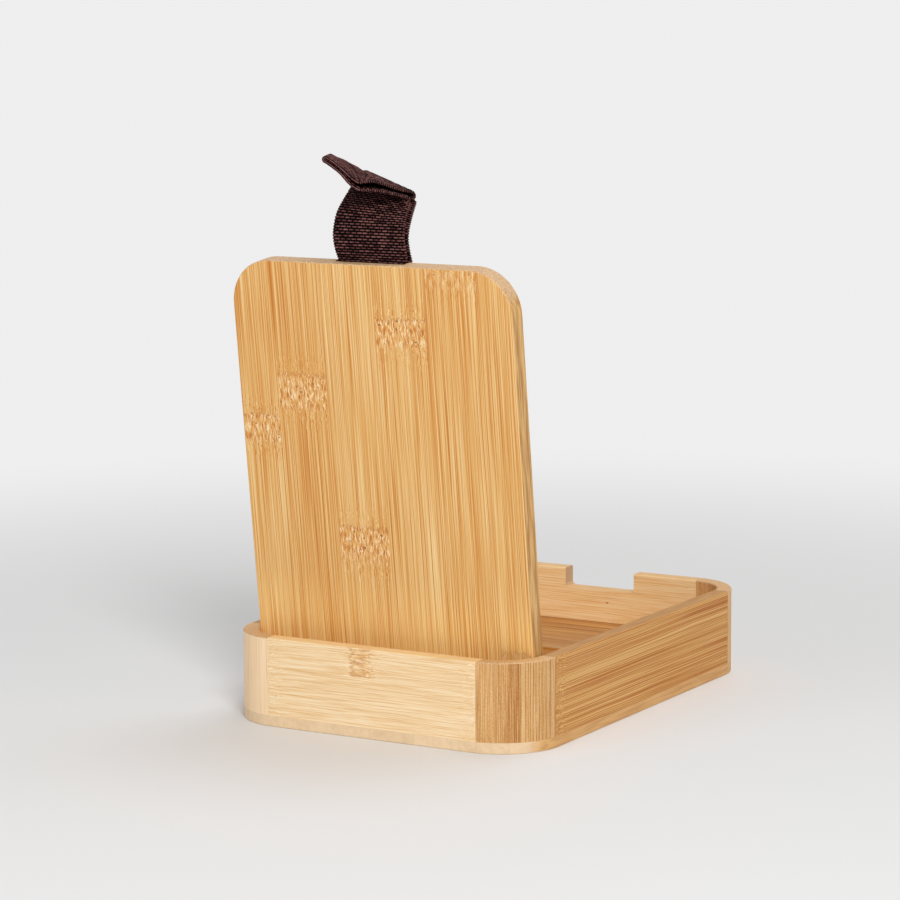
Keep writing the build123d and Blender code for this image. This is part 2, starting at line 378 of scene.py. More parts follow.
def cane_node(finish, over, depth, along):
    """The strokes, the pits and the colour of a node of the cane."""
    curls = finish.centred(finish.streaks(finish.join(over, depth, along), *MARK_CURLS))
    places = finish.join(finish.plus(over, curls, MARK_CURL_SWING), depth, along)
    strokes = finish.streaks(places, *MARK_STROKES)
    pits = finish.dots(places, PIT_CELL, PIT_RADIUS, PIT_CHANCE)
    return strokes, pits, finish.mix(pits, finish.ramp(strokes, MARK_PLACES, MARK_TONES), DOT_TONE)


def bamboo(name, fibres, across, tones, run=70.0, grain=0.34, strip=20.0, start=0.0, marks=(),
           origin=Vector(), seed=0.0, lines=0.5, contrast=1.0, coarse=1.0, strips_differ=0.08,
           sway=0.4, ends=None, curl=1.0, bands=(), ridges=None, beads=0.0, knots=(),
           painted_foot_light=0.0, rim=RIM_TONES_WITH_PAINTED_SHADE, flank=None, sawn=END_TONES):
    """Strips of bamboo side by side, with fibres along one direction and strips across another.

    run is how long a fine fibre stays in sight and grain how wide it is. lines is how strongly
    single threads show, contrast how strongly all fibres do, and coarse the share of the wider
    ones. strip is a strip's width, start the place of a strip's edge, and strips_differ how far
    the strips' tones lie apart. marks are the nodes of the cane: for each its middle across and
    along, its half width and half height, and how strong it is. sway is how far the fibres
    wander, and ends are the two places along the piece near which they curl, as far as curl
    says. bands are darker stripes along the fibres: for each its two edges across and how dark
    it is. ridges are the pitch and the strength of even dark lines, and beads how strongly fine
    lines break up. knots are small dark places: for each its place across and along, and its
    half width. painted_foot_light is how much paler the piece is painted at its foot, as painted light,
    and there it is painted warmer too.
    rim, flank and sawn are the tones of faces that look up, across and along the fibres."""
    finish = Finish(name)
    turn = Matrix((across, fibres.cross(across), fibres)).transposed()
    over, depth, along = finish.places(origin, turn)

    count = finish.math("DIVIDE", finish.math("SUBTRACT", over, start), strip)
    number = finish.math("FLOOR", count)
    chance = finish.chance({"W": finish.math("ADD", number, seed)}, "1D")
    shifted = finish.plus(finish.math("ADD", along, seed * SEED_SHIFT), chance, STRIP_SHIFT)
    seam = finish.times(finish.away(finish.math("FRACT", count), 0.5), strip)
    seam = finish.step(seam, strip / 2 - SEAM_EDGE, strip / 2 - SEAM_CORE)

    # Near a node of the cane, and near a sawn end, the fibres curl
    places = finish.join(over, depth, shifted)
    curls = finish.centred(finish.streaks(places, *CURLS))
    flame = finish.centred(finish.streaks(places, *FLAMES))
    node_share, rim_share, halo_share = mark_shares(finish, over, along, flame, marks)
    if ends:
        inward = finish.math(
            "MINIMUM",
            finish.math("SUBTRACT", along, ends[0]),
            finish.math("SUBTRACT", ends[1], along),
        )
        halo_share = finish.plus(halo_share, finish.step(inward, END_REACH, 0.0), curl)
    bent = finish.plus(over, finish.times(curls, halo_share), CURL_SWING)
    bent = finish.plus(bent, finish.centred(finish.streaks(places, *SWAYS)), sway)
    places = finish.join(bent, depth, shifted)

    fine = finish.centred(finish.streaks(places, grain, run, 2.0, FINE_ROUGHNESS))
    middling = finish.streaks(places, grain * MIDDLING_WIDTH, run * MIDDLING_LENGTH)
    broad = finish.streaks(places, BROAD_WIDTH_IN_MM, run * BROAD_LENGTH)
    tone = finish.plus(MIDDLE_TONE, fine, FINE_WEIGHT * contrast)
    tone = finish.plus(tone, finish.centred(middling), MIDDLING_WEIGHT * contrast * coarse)
    tone = finish.plus(tone, finish.centred(broad), BROAD_WEIGHT * contrast * coarse)
    tone = finish.plus(tone, finish.centred(chance), strips_differ)
    # Painted light: the piece is painted paler towards its foot
    if painted_foot_light:
        tone = finish.plus(tone, finish.step(along, *PAINTED_FOOT_LIGHT_FADE), painted_foot_light)
    for low, high, drop in bands:
        inside = finish.times(
            finish.step(over, low - BAND_BLUR, low + BAND_BLUR),
            finish.step(over, high + BAND_BLUR, high - BAND_BLUR),
        )
        tone = finish.plus(tone, inside, -drop)
    if beads:
        bead = finish.centred(finish.streaks(places, grain, BEAD_LENGTH_IN_MM))
        tone = finish.plus(tone, bead, beads)
    if ridges:
        pitch, strength = ridges
        ridge = finish.wave(finish.times(bent, 1 / pitch))
        tone = finish.plus(tone, finish.step(ridge, *RIDGE_GROOVES), -strength)

    wood = finish.ramp(tone, STREAK_PLACES, tones)
    threads = finish.streaks(places, grain * THREAD_WIDTH, run * THREAD_LENGTH, 0.0)
    wood = finish.mix(finish.times(finish.step(threads, *DARK_THREADS), lines), wood, tones[0])
    wood = finish.mix(finish.times(finish.step(threads, *PALE_THREADS), lines), wood, tones[3])
    wood = finish.mix(finish.times(seam, SEAM_SHARE), wood, tones[0])
    for knot_over, knot_along, half_width in knots:
        aside = finish.times(finish.away(over, knot_over), 1 / half_width)
        ahead = finish.times(finish.away(along, knot_along), 0.5 / half_width)
        knot = finish.times(finish.step(finish.length(aside, ahead), *KNOT_EDGE), KNOT_SHARE)
        wood = finish.mix(knot, wood, KNOT_TONE)
    # Painted light: the foot is painted warmer as well
    if painted_foot_light:
        wood = finish.mix(finish.step(along, *PAINTED_FOOT_WARMTH_FADE), wood, PAINTED_FOOT_WARMTH, "MULTIPLY")
    relief = finish.plus(finish.times(fine, FINE_RELIEF), threads, THREAD_RELIEF)
    if marks:
        strokes, pits, node_wood = cane_node(finish, over, depth, along)
        wood = finish.mix(finish.times(halo_share, HALO_SHARE), wood, tones[1])
        wood = finish.mix(finish.times(rim_share, MARK_RIM_SHARE), wood, MARK_TONES[0])
        wood = finish.mix(finish.times(node_share, MARK_SHARE), wood, node_wood)
        relief = finish.plus(relief, finish.times(strokes, node_share), STROKE_RELIEF)
        relief = finish.plus(relief, finish.times(pits, node_share), PIT_RELIEF)

    # Sawn ends show pores, and the rims, the faces that look up along the fibres, take rim tones:
    # mostly duller than the faces, partly their own tone and partly painted shade, and on the
    # rear wall paler, as painted light
    straight = finish.join(over, depth, along)
    # Faces that look across the strips take the flank tones, which on the lid are painted shade
    if flank:
        patches = finish.streaks(straight, *FLANK_PATCHES, 3.0)
        side = finish.mix(finish.step(patches, *PATCH_EDGE), *flank)
        wood = finish.mix(finish.step(finish.facing(across), *FACES_FLANK), wood, side)
    if sawn:
        pores = finish.streaks(straight, *END_PORES)
        end_wood = finish.mix(finish.step(pores, *PORE_EDGE), *sawn)
        wood = finish.mix(finish.step(finish.facing(fibres), *FACES_END), wood, end_wood)
    # Painted light and shade on faces that look up: the rim tones stand partly for how light falls on
    # them
    if rim:
        scuffs = finish.streaks(places, *RIM_SCUFFS)
        rim_wood_and_painted_light = finish.mix(finish.step(scuffs, *SCUFF_EDGE), *rim)
        upward = finish.times(finish.step(finish.facing(ALONG_Z), *FACES_RIM), RIM_SHARE)
        wood = finish.mix(upward, wood, rim_wood_and_painted_light)

    roughness = finish.plus(0.46, threads, 0.2)
    finish.coat({"Base Color": wood, "Roughness": roughness, "Specular IOR Level": 0.3})
    finish.bump(relief, distance=0.10 * MM, strength=0.6)
    return finish.material


def dress(node, material):
    """Gives a node of the frame its finish."""
    piece = frame["nodes"][node]
    for slot in piece.material_slots:
        slot.material = material


# Nodes of the cane on the lid: across and up from the foot, half width, half height, strength
LID_MARKS = (
    (45.8, 97.4, 7.4, 4.6, 1.0),
    (28.6, 111.2, 9.7, 5.6, 0.95),
    (8.6, 59.9, 9.8, 5.4, 1.0),
    (-11.3, 132.8, 9.8, 4.8, 1.0),
    (-31.4, 153.4, 9.8, 4.2, 0.5),
    (-47.3, 24.0, 5.8, 3.5, 0.4),
)
# The lid's foot is painted paler and warmer, as painted light
lid_wood = bamboo(
    "bamboo lid", lid_up, ALONG_X, LID_TONES, strip=20.0, start=-1.5, marks=LID_MARKS,
    origin=lid_foot, seed=3.0, grain=0.3, contrast=1.32, coarse=0.7, painted_foot_light=0.13, rim=None,
    flank=LID_FLANK_TONES_WITH_PAINTED_SHADE,
)

# The end walls' and side walls' fibres curl near the seams with the corner blocks
END_WALL_SEAMS = (-40.5, 40.5)
SIDE_WALL_SEAMS = (-90.0, 65.0)
REAR_MARKS = ((26.0, 3.0, 5.4, 4.2, 0.65),)
FRONT_KNOTS = ((18.6, -3.7, 0.34),)
rear_wood = bamboo(
    "bamboo rear wall", ALONG_X, ALONG_Z, PALE_TONES, run=17.0, grain=0.2, strip=40.0, lines=0.4,
    contrast=1.15, coarse=0.25, marks=REAR_MARKS, seed=7.0, sway=0.5, ends=END_WALL_SEAMS,
    curl=0.8, rim=PALE_RIM_TONES_WITH_PAINTED_LIGHT,
)
front_wood = bamboo(
    "bamboo front wall", ALONG_X, ALONG_Z, FRONT_TONES_WITH_PAINTED_LIGHT, run=18.0, grain=0.2, strip=40.0,
    lines=0.4, contrast=1.0, coarse=0.35, seed=9.0, ends=END_WALL_SEAMS, curl=0.5,
    knots=FRONT_KNOTS, rim=FRONT_RIM_TONES,
)
side_wood = bamboo(
    "bamboo side wall", ALONG_Y, ALONG_Z, SIDE_TONES, run=90.0, grain=0.24, strip=40.0,
    lines=0.9, contrast=1.55, coarse=0.8, seed=12.0, sway=0.8, ends=SIDE_WALL_SEAMS, curl=1.3,
)

# Corner blocks of narrow strips, which start at the box's left side
BLOCK_STRIP = 6.5
BLOCK_START = -60.0
REAR_LEFT_BANDS = ((-54.0, -50.6, 0.14), (-54.7, -54.2, -0.2))
block_wood = bamboo(
    "bamboo corner block", ALONG_Z, ALONG_X, BLOCK_TONES, run=15.0, grain=0.2, strip=BLOCK_STRIP,
    start=BLOCK_START, strips_differ=0.12, lines=0.5, contrast=0.8, coarse=0.5, seed=15.0,
    sway=0.15, bands=REAR_LEFT_BANDS, ridges=(0.55, 0.2), beads=0.5, rim=BLOCK_RIM_TONES,
)
front_block_wood = bamboo(
    "front bamboo corner block", ALONG_Z, ALONG_X, FRONT_BLOCK_TONES, run=15.0, grain=0.2,
    strip=BLOCK_STRIP, start=BLOCK_START, strips_differ=0.12, lines=0.5, contrast=0.8,
    coarse=0.5, seed=19.0, sway=0.15, ridges=(0.55, 0.14), beads=0.4, rim=BLOCK_RIM_TONES,
)
pale_block_wood = bamboo(
    "pale bamboo corner block", ALONG_Z, ALONG_X, PALE_BLOCK_TONES, run=26.0, grain=0.3,
    strip=BLOCK_STRIP, start=BLOCK_START, lines=0.3, contrast=0.6, seed=17.0,
    rim=BLOCK_RIM_TONES,
)
base_wood = bamboo(
    "bamboo base", ALONG_Y, ALONG_X, BASE_TONES, run=40.0, grain=2.0, strip=17.0, lines=0.0,
    contrast=0.35, strips_differ=0.1, seed=21.0, rim=None, sawn=None, flank=BASE_FLANK_TONES,
)
floor_wood = bamboo(
    "bamboo floor", ALONG_X, ALONG_Y, FLOOR_TONES, run=60.0, grain=0.45, lines=0.6, seed=25.0,
    rim=None,
)
rail_wood = bamboo("bamboo rail", ALONG_Y, ALONG_X, INNER_TONES, run=40.0, lines=0.4, seed=31.0)
divider_wood = bamboo("bamboo divider", ALONG_X, ALONG_Z, SIDE_TONES, run=40.0, seed=35.0)
dress("lid_panel", lid_wood)
dress("rear_wall", rear_wood)
dress("front_wall", front_wood)
dress("base_panel", base_wood)
dress("inner_floor_panel", floor_wood)
dress("cross_divider", divider_wood)
for side in ("left", "right"):
    dress(f"{side}_wall", side_wood)
    dress(f"{side}_lid_rail", rail_wood)
dress("rear_left_corner_block", block_wood)
dress("front_left_corner_block", front_block_wood)
for end in ("front", "rear"):
    dress(f"{end}_right_corner_block", pale_block_wood)


def tack_steel():
    """Dull steel of the tacks."""
    finish = Finish("tack steel")
    smear = finish.noise(finish.join(*finish.places()), (0.8, 0.8, 0.8), 3.0)
    steel = finish.mix(smear, colour(176, 172, 165), colour(214, 210, 203))
    roughness = finish.plus(0.25, smear, 0.3)
    finish.coat({"Base Color": steel, "Roughness": roughness, "Metallic": 1.0})
    finish.bump(smear, distance=0.03 * MM, strength=0.5)
    return finish.material


dress("strap_tacks", tack_steel())


# Webbing loop. In the lists below each station is a place on the webbing's two edges, first the
# one on the photo's right, in millimetres across the lid from the strap's middle, up from the
# lid's free edge and in from its outer face
HALF = 12.5
STRAP_WIDTH = 2 * HALF * MM
STRAP_CORE = 0.70 * MM
STRAP_OFFSET = 1.0 * MM
STRAP_COLUMNS = 74
RIB_PITCH = 0.95 * MM
RIB_HEIGHT = 0.30 * MM
RIB_STEPS = 4
DASH_LENGTH = 1.95 * MM
DASH_DIP = 0.28
DASH_SHARPNESS = 2.2
EDGE_TOOTH = 0.36 * MM
TAIL_STATIONS = (17.5, 6.0)
NEAR_TAIL_IN = 4.0
FAR_TAIL_IN = 5.2
FOLD_STEPS = 5
BIGHT_STEPS = 5
NEAR_FOLD_RADIUS = 0.8 * MM
FAR_FOLD_RADIUS = 1.3 * MM

# Numbers of stations: the level up to which the ribs lie square to the webbing's edges, and the
# corner past which the loop's own end follows the right edge
LEVEL_IN_RISE = 3
CORNER_IN_NEAR_RUN = 3
CORNER_IN_FAR_RUN = 4
near_rise = [
    ((-13.0, 0.0, 6.0), (12.5, 0.0, 4.5)),
    ((-13.0, 4.0, 6.0), (12.5, 4.0, 3.0)),
    ((-12.5, 8.0, 6.2), (12.7, 8.5, 2.5)),
    ((-12.5, 12.0, 7.2), (13.0, 12.5, 4.3)),
    ((-12.4, 15.2, 9.2), (13.4, 16.0, 7.4)),
    ((-12.3, 17.0, 11.2), (14.3, 19.8, 14.8)),
    ((-12.1, 18.3, 12.4), (15.6, 21.9, 21.5)),
]
near_fold = ((-11.6, 19.3, 13.0), (16.7, 23.4, 27.5))
near_run = [
    ((-8.5, 21.4, 10.2), (14.8, 24.3, 25.0)),
    ((-5.5, 22.8, 7.6), (14.0, 25.0, 24.0)),
    ((-2.5, 23.8, 4.5), (14.0, 25.6, 23.5)),
    ((0.5, 24.3, 2.0), (14.5, 26.3, 23.0)),
    ((3.0, 26.4, 0.5), (16.0, 27.3, 22.0)),
    ((5.5, 30.2, -1.0), (18.0, 29.0, 21.5)),
    ((8.0, 32.7, -2.0), (20.0, 30.1, 20.5)),
    ((9.9, 34.4, -3.0), (21.5, 31.2, 19.5)),
]
far_rise = [
    ((-12.5, -1.5, 10.0), (13.0, -1.0, 8.5)),
    ((-12.5, 3.0, 9.3), (13.0, 3.5, 7.0)),
    ((-12.5, 7.0, 8.8), (13.0, 7.5, 6.3)),
    ((-12.5, 10.5, 9.9), (13.0, 11.5, 8.0)),
    ((-12.2, 14.0, 12.7), (13.2, 15.0, 11.8)),
    ((-11.9, 16.6, 15.2), (13.9, 19.4, 19.5)),
    ((-11.6, 18.0, 16.6), (15.2, 22.0, 27.0)),
]
far_fold = ((-10.9, 19.9, 17.6), (17.3, 23.4, 33.5))
far_run = [
    ((-7.0, 22.7, 13.2), (16.2, 25.3, 28.0)),
    ((-4.5, 24.7, 9.8), (15.7, 26.2, 26.0)),
    ((-2.0, 26.3, 6.6), (15.3, 26.9, 24.8)),
    ((0.0, 26.5, 4.2), (15.2, 27.4, 24.0)),
    ((1.2, 26.6, 2.6), (15.6, 27.9, 23.5)),
    ((3.0, 28.4, 1.0), (16.5, 28.7, 22.5)),
    ((5.5, 31.6, -0.5), (18.5, 29.9, 21.7)),
    ((8.0, 34.0, -1.5), (20.5, 31.1, 20.5)),
    ((9.9, 35.6, -2.5), (22.0, 32.2, 19.5)),
]


def strap_points(stations):
    return [
        tuple(
            lid_point(STRAP_OFFSET + across * MM, lid_length + up * MM, inward * MM)
            for across, up, inward in pair
        )
        for pair in stations
    ]


def square_to(line, vector):
    """The part of a vector that is square to a unit line, at unit length."""
    return (vector - line * vector.dot(line)).normalized()


def middle(pair):
    return (pair[0] + pair[1]) / 2


def rounded_fold(before, crease, after, radius):
    """The webbing's edges over a crease, on an arc along the crease."""
    line = (crease[1] - crease[0]).normalized()
    towards = square_to(line, middle(crease) - middle(before))
    away = square_to(line, middle(after) - middle(crease))
    outward = (towards - away).normalized()
    forward = (towards + away).normalized()
    half_turn = towards.angle(away) / 2
    pairs = []
    for step in range(FOLD_STEPS):
        turn = half_turn * (2 * step / (FOLD_STEPS - 1) - 1)
        shift = outward * (radius * (math.cos(turn) - 1)) + forward * (radius * math.sin(turn))
        pairs.append((crease[0] + shift, crease[1] + shift))
    return pairs


def strap_layer(tail_in, rise, fold, run, radius):
    """One layer of the loop, from its tail to the loop's end."""
    tail = [((-HALF, -up, tail_in), (HALF, -up, tail_in)) for up in TAIL_STATIONS]
    rising = strap_points(tail + rise)
    running = strap_points(run)
    crease = strap_points([fold])[0]
    return rising + rounded_fold(rising[-1], crease, running[0], radius) + running


def loop_end(near, far):
    """The half turn between the two layers at the loop's end."""
    pairs = []
    for step in range(1, BIGHT_STEPS + 1):
        turn = math.pi * step / (BIGHT_STEPS + 1)
        ends = []
        for side in (0, 1):
            centre = (near[-1][side] + far[-1][side]) / 2
            back = near[-1][side] - centre
            forward = square_to(back.normalized(), near[-1][side] - near[-2][side])
            ends.append(centre + back * math.cos(turn) + forward * (back.length * math.sin(turn)))
        pairs.append(tuple(ends))
    return pairs


def smooth_between(points, knots, place):
    """A point on the smooth curve through all the points, by Catmull and Rom's rule."""
    span = max(i for i in range(len(knots) - 1) if knots[i] <= place or i == 0)
    size = knots[span + 1] - knots[span]
    inside = (place - knots[span]) / size

    def slope(i):
        low, high = max(i - 1, 0), min(i + 1, len(points) - 1)
        return (points[high] - points[low]) / (knots[high] - knots[low])

    square, cube = inside * inside, inside**3
    return (
        points[span] * (2 * cube - 3 * square + 1)
        + slope(span) * (size * (cube - 2 * square + inside))
        + points[span + 1] * (3 * square - 2 * cube)
        + slope(span + 1) * (size * (cube - square))
    )


def distances(points):
    """How far along a line of points each of them is."""
    places = [0.0]
    for before, after in zip(points, points[1:]):
        places.append(places[-1] + (after - before).length)
    return places


near_layer = strap_layer(NEAR_TAIL_IN, near_rise, near_fold, near_run, NEAR_FOLD_RADIUS)
far_layer = strap_layer(FAR_TAIL_IN, far_rise, far_fold, far_run, FAR_FOLD_RADIUS)
loop = near_layer + loop_end(near_layer, far_layer) + far_layer[::-1]
loop_places = distances([middle(pair) for pair in loop])
strap_length = loop_places[-1]
row_count = round(strap_length / RIB_PITCH * RIB_STEPS)
loop_edges = [[pair[side] for pair in loop] for side in (0, 1)]
rows = []
for row in range(row_count + 1):
    place = strap_length * row / row_count
    rows.append([smooth_between(edge, loop_places, place) for edge in loop_edges])


def row_at(station):
    return round(row_count * loop_places[station] / strap_length)


# Rows at which the ribs on the two layers stop lying level, at which the loop's end meets its
# two corners, and at which it turns
level_station = len(TAIL_STATIONS) + LEVEL_IN_RISE
run_station = len(TAIL_STATIONS) + len(near_rise) + FOLD_STEPS
level = row_at(level_station)
far_level = row_at(len(loop) - 1 - level_station)
corner = row_at(run_station + CORNER_IN_NEAR_RUN)
far_corner = row_at(len(loop) - 1 - run_station - CORNER_IN_FAR_RUN)
turn_row = row_at(len(near_layer) + BIGHT_STEPS // 2)

# Lengths of the webbing's halves up to the loop's end, which lies on the crest of a rib
LOOP_END = 69.5 * RIB_PITCH
FAR_HALF = 76.5 * RIB_PITCH


def spread(points, marks):
    """A value for each point of a line, which meets the marks of row and value and changes
    evenly between them."""
    reached = distances(points)
    values = []
    for (low, start), (high, end) in zip(marks, marks[1:]):
        for row in range(low, high):
            share = (reached[row] - reached[low]) / (reached[high] - reached[low])
            values.append(start + (end - start) * share)
    return values + [marks[-1][1]]


def webbing_places():
    """For both edges of each row, how far over and along the flat webbing they are. The ribs
    rise level with the lid. On the loop's flap they lie along its lower border, which is the
    end of the loop, so the right edge reaches that end at the corner where the border starts."""
    rights = [right for right, left in rows]
    lefts = [left for right, left in rows]
    reached = distances(rights)
    end, whole = LOOP_END, LOOP_END + FAR_HALF
    start_marks = [(0, 0.0), (level, reached[level])]
    end_marks = [(far_level, whole - (reached[-1] - reached[far_level])), (row_count, whole)]
    alongs = (
        spread(rights, start_marks + [(corner, end), (far_corner, end)] + end_marks),
        spread(lefts, start_marks + [(turn_row, end)] + end_marks),
    )
    half = STRAP_WIDTH / 2
    border = reached[turn_row] - reached[corner]
    over_marks = [
        (0, -half),
        (corner, -half),
        (turn_row, border - half),
        (far_corner, -half),
        (row_count, -half),
    ]
    return (spread(rights, over_marks), [half] * len(rows)), alongs


# The line of the loop's own end goes straight on past its corners by this many steps of a row.
# Ribs ease over this length from lying along the rows to lying along that end
END_LINE_STEPS = 120
EASED_OVER = 6.0 * MM


def end_line(first, last):
    """The right edge's border on one layer, and straight on past both its ends, as a tree."""
    line = [right for right, left in rows[first:last + 1]]
    onward = (line[-1] - line[0]).normalized() * (RIB_PITCH / RIB_STEPS)
    line += [line[-1] + onward * step for step in range(1, END_LINE_STEPS)]
    line += [line[0] - onward * step for step in range(1, END_LINE_STEPS)]
    tree = KDTree(len(line))
    for number, point in enumerate(line):
        tree.insert(point, number)
    tree.balance()
    return tree


def smooth_larger(first, second):
    """The larger of two lengths, eased where they are nearly the same."""
    reach = min(EASED_OVER, first, second)
    if reach <= 0:
        return max(first, second)
    near = max(reach - abs(first - second), 0.0) / reach
    return max(first, second) + near * near * reach / 4


# Shares of the width, from the middle: where the edges thin out, where the flat face inside
# the loop ends, up to which it gets painted shade, and where the edges are toothed
THIN_FROM = 0.46
THIN_OVER = 0.04
SHADED_INSIDE_UP_TO = 0.44
TOOTHED_FROM = 0.475

# How much thinner the webbing gets at the loop's own end, and at its selvages
BORDER_TAPER = 0.8
SELVAGE_TAPER = 0.55


def webbing_body():
    """A thin closed band along the rows. Each point knows its outward side, the way out over a
    toothed edge, its place on the flat webbing, and whether it faces into the loop."""
    columns = range(STRAP_COLUMNS + 1)
    threads = [[right.lerp(left, column / STRAP_COLUMNS) for right, left in rows] for column in columns]
    (right_overs, left_overs), (right_alongs, left_alongs) = webbing_places()
    near_end, far_end = end_line(corner, turn_row), end_line(turn_row, far_corner)
    ring = [(column, 1) for column in columns] + [(column, -1) for column in reversed(columns)]
    verts = []
    vectors = {"out": [], "edge": []}
    values = {"over": [], "along": [], "inside": []}
    for row in range(row_count + 1):
        for column, side in ring:
            thread = threads[column]
            ahead = thread[min(row + 1, row_count)] - thread[max(row - 1, 0)]
            left = threads[min(column + 1, STRAP_COLUMNS)][row]
            width = left - threads[max(column - 1, 0)][row]
            face = width.cross(ahead).normalized()
            part = column / STRAP_COLUMNS
            share = part - 0.5
            at_border = column < STRAP_COLUMNS / 2 and corner < row < far_corner
            taper = BORDER_TAPER if at_border else SELVAGE_TAPER
            slim = 1 - max(0.0, abs(share) - THIN_FROM) / THIN_OVER * taper
            verts.append(thread[row] + face * (side * slim * STRAP_CORE / 2))
            vectors["out"].append(face * (side * slim))
            toothed = abs(share) > TOOTHED_FROM and not at_border
            vectors["edge"].append(width.normalized() * math.copysign(toothed, share))
            # Faces inside the loop are marked here, and the yarn's finish paints them darker as painted
            # shade
            values["inside"].append(float(side > 0 and abs(share) < SHADED_INSIDE_UP_TO))
            values["over"].append(right_overs[row] + (left_overs[row] - right_overs[row]) * part)
            along = right_alongs[row] + (left_alongs[row] - right_alongs[row]) * part - LOOP_END
            distance = (near_end if row < turn_row else far_end).find(thread[row])[2]
            along = math.copysign(smooth_larger(abs(along), distance), along)
            values["along"].append(LOOP_END + along)
    return band_of_rings(verts, len(ring), vectors, values)


def band_of_rings(verts, size, vectors, values):
    """A closed tube through rings of points, with named vectors and values on its points."""
    faces = []
    for row in range(row_count):
        for place in range(size):
            after = (place + 1) % size
            low, high = row * size, (row + 1) * size
            faces.append((low + place, low + after, high + after, high + place))
    last = row_count * size
    faces.append(tuple(range(size))[::-1])
    faces.append(tuple(last + place for place in range(size)))
    mesh = bpy.data.meshes.new("webbing_band")
    mesh.from_pydata([tuple(vert) for vert in verts], [], faces)
    for name, entries in vectors.items():
        layer = mesh.attributes.new(name, "FLOAT_VECTOR", "POINT")
        layer.data.foreach_set("vector", [part for entry in entries for part in entry])
    for name, entries in values.items():
        layer = mesh.attributes.new(name, "FLOAT", "POINT")
        layer.data.foreach_set("value", entries)
    mesh.update()
    band = bpy.data.objects.new("webbing_band", mesh)
    bpy.context.scene.collection.objects.link(band)
    return band


class Weave(Nodes):
    """A geometry node tree."""

    def __init__(self, name):
        super().__init__(bpy.data.node_groups.new(name, "GeometryNodeTree"))
        face = self.tree.interface
        face.new_socket("Geometry", in_out="INPUT", socket_type="NodeSocketGeometry")
        face.new_socket("Geometry", in_out="OUTPUT", socket_type="NodeSocketGeometry")
        self.entry = self.tree.nodes.new("NodeGroupInput")
        self.exit = self.tree.nodes.new("NodeGroupOutput")

    def size(self, name, value):
        face = self.tree.interface
        socket = face.new_socket(name, in_out="INPUT", socket_type="NodeSocketFloat")
        socket.default_value = value

    def named(self, name, data_type="FLOAT"):
        node = self.add("GeometryNodeInputNamedAttribute", {"Name": name}, data_type=data_type)
        return node.outputs["Attribute"]

    def scaled(self, vector, size):
        node = self.add("ShaderNodeVectorMath", {0: vector, "Scale": size}, operation="SCALE")
        return node.outputs[0]


def webbing_weave(material):
    """Cross ribs along the band, broken into dashes that stand like bricks, with toothed edges."""
    weave = Weave("webbing weave")
    weave.size("Rib pitch", RIB_PITCH)
    weave.size("Rib height", RIB_HEIGHT)
    weave.size("Dash length", DASH_LENGTH)
    weave.size("Dash dip", DASH_DIP)
    weave.size("Edge tooth", EDGE_TOOTH)
    sizes = weave.entry.outputs
    rib, _, dash = weave.bricks(
        weave.math("DIVIDE", weave.named("along"), sizes["Rib pitch"]),
        weave.math("DIVIDE", weave.named("over"), sizes["Dash length"]),
    )
    full = weave.math("MINIMUM", weave.times(dash, DASH_SHARPNESS), 1.0)
    dip = weave.times(weave.math("SUBTRACT", 1.0, full), sizes["Dash dip"])
    crest = weave.times(rib, weave.math("SUBTRACT", 1.0, dip))
    height = weave.times(crest, sizes["Rib height"])
    lift = weave.scaled(weave.named("out", "FLOAT_VECTOR"), height)
    notch = weave.times(weave.math("SUBTRACT", rib, 1.0), sizes["Edge tooth"])
    tooth = weave.scaled(weave.named("edge", "FLOAT_VECTOR"), notch)
    offset = weave.add("ShaderNodeVectorMath", {0: lift, 1: tooth}, operation="ADD").outputs[0]
    moved = weave.add("GeometryNodeSetPosition", {"Geometry": sizes["Geometry"], "Offset": offset})
    shaded = weave.add("GeometryNodeSetShadeSmooth", {"Geometry": moved.outputs[0]})
    real = weave.add("GeometryNodeRealizeInstances", {"Geometry": shaded.outputs[0]})
    done = weave.add("GeometryNodeSetMaterial", {"Geometry": real.outputs[0], "Material": material})
    weave.tree.links.new(done.outputs[0], weave.exit.inputs[0])
    return weave.tree


def plain_mesh(source, name):
    """The piece's evaluated shape as a mesh of its own, with no modifier left."""
    bpy.context.view_layer.update()
    shaped = source.evaluated_get(bpy.context.evaluated_depsgraph_get())
    mesh = bpy.data.meshes.new_from_object(shaped)
    mesh.name = name
    piece = bpy.data.objects.new(name, mesh)
    bpy.context.scene.collection.objects.link(piece)
    bpy.data.objects.remove(source)
    return piece


# Yarn: tones from the grooves to the crests and their places, which paint shade into the
# grooves and are partly painted highlight on the crests, the selvage's lighter crests, and the
# painted shade inside the loop
YARN_PLACES = (0.50, 0.70, 0.87, 1.00)
YARN_TONES_WITH_PAINTED_SHADE = colours((4, 0, 0), (28, 12, 11), (78, 44, 42), (126, 85, 82))
SELVAGE_TONE = colour(116, 78, 75)
SELVAGE_EDGE = (11.9, 12.4)
SELVAGE_CREST = (0.5, 0.9)
SELVAGE_SHARE = 0.5
DASH_EDGE = (0.05, 0.7)
END_RIB_EDGE = (0.4, 0.3)
GAP_SHADE = 0.32
YARN_GRAIN = (0.4, 0.14, 1.0)
WORN_GRAIN = (3.5, 2.0, 1.0)
YARN_WEIGHT = 0.9
WORN_WEIGHT = 0.6
CHANCE_WEIGHT = 0.22
INSIDE_PAINTED_SHADE = -0.3


